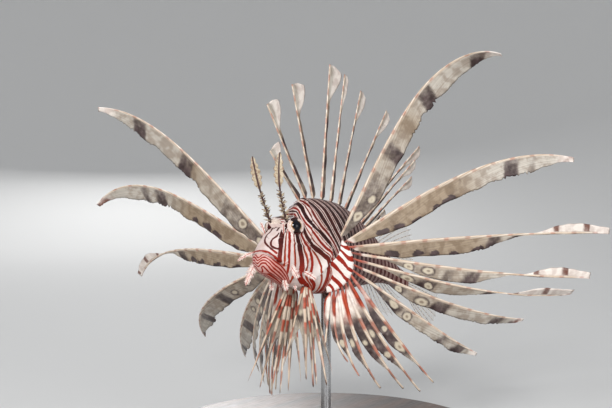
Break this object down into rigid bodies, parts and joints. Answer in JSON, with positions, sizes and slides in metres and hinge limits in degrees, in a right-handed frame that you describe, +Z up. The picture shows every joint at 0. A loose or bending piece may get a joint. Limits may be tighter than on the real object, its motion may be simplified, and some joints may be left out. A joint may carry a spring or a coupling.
{
  "type": "red lionfish model on a display stand",
  "caption": "Life-size still model of a red lionfish with its fins spread, held by a steel rod on a plain round wooden plinth.",
  "frame": {"origin": "centre of the plinth's underside, on the surface that the stand rests on", "axes": "+Z up; the fish swims toward -Y with its nose a little up, and its left side is toward +X"},
  "size_m": [0.2571, 0.189, 0.199],
  "materials": {
    "skin": "scaled fish skin in fine maroon and white stripes, slightly moist",
    "eye": "clear polished cornea over a dark pupil and a golden brown iris",
    "fin_rays": "banded bony rays with thin brown and white membranes",
    "clear_fins": "nearly clear membrane with rows of small dark dots",
    "plinth_wood": "dark stained hardwood, satin varnish",
    "rod_steel": "brushed along its length"
  },
  "bodies": {
    "root": {"head": "skin", "lower_jaw": "skin", "gill_cover_left": "skin", "gill_cover_right": "skin", "trunk": "skin", "tail_stem": "skin", "pectoral_lobe_left": "skin", "pectoral_lobe_right": "skin", "eye_left": "eye", "eye_right": "eye", "tentacle_left": "skin", "tentacle_right": "skin", "dorsal_spine_01": "fin_rays", "dorsal_spine_02": "fin_rays", "dorsal_spine_03": "fin_rays", "dorsal_spine_04": "fin_rays", "dorsal_spine_05": "fin_rays", "dorsal_spine_06": "fin_rays", "dorsal_spine_07": "fin_rays", "dorsal_spine_08": "fin_rays", "dorsal_spine_09": "fin_rays", "dorsal_spine_10": "fin_rays", "dorsal_spine_11": "fin_rays", "dorsal_spine_12": "fin_rays", "dorsal_spine_13": "fin_rays", "pectoral_left_ray_01": "fin_rays", "pectoral_left_ray_02": "fin_rays", "pectoral_left_ray_03": "fin_rays", "pectoral_left_ray_04": "fin_rays", "pectoral_left_ray_05": "fin_rays", "pectoral_left_ray_06": "fin_rays", "pectoral_left_ray_07": "fin_rays", "pectoral_left_ray_08": "fin_rays", "pectoral_left_ray_09": "fin_rays", "pectoral_left_ray_10": "fin_rays", "pectoral_left_ray_11": "fin_rays", "pectoral_left_ray_12": "fin_rays", "pectoral_left_ray_13": "fin_rays", "pectoral_left_ray_14": "fin_rays", "pectoral_right_ray_01": "fin_rays", "pectoral_right_ray_02": "fin_rays", "pectoral_right_ray_03": "fin_rays", "pectoral_right_ray_04": "fin_rays", "pectoral_right_ray_05": "fin_rays", "pectoral_right_ray_06": "fin_rays", "pectoral_right_ray_07": "fin_rays", "pectoral_right_ray_08": "fin_rays", "pectoral_right_ray_09": "fin_rays", "pectoral_right_ray_10": "fin_rays", "pectoral_right_ray_11": "fin_rays", "pectoral_right_ray_12": "fin_rays", "pectoral_right_ray_13": "fin_rays", "pectoral_right_ray_14": "fin_rays", "pelvic_left": "fin_rays", "pelvic_right": "fin_rays", "dorsal_soft": "clear_fins", "anal_fin": "clear_fins", "caudal_fin": "clear_fins", "stand_base": "plinth_wood", "stand_rod": "rod_steel"}
  },
  "joints": []
}
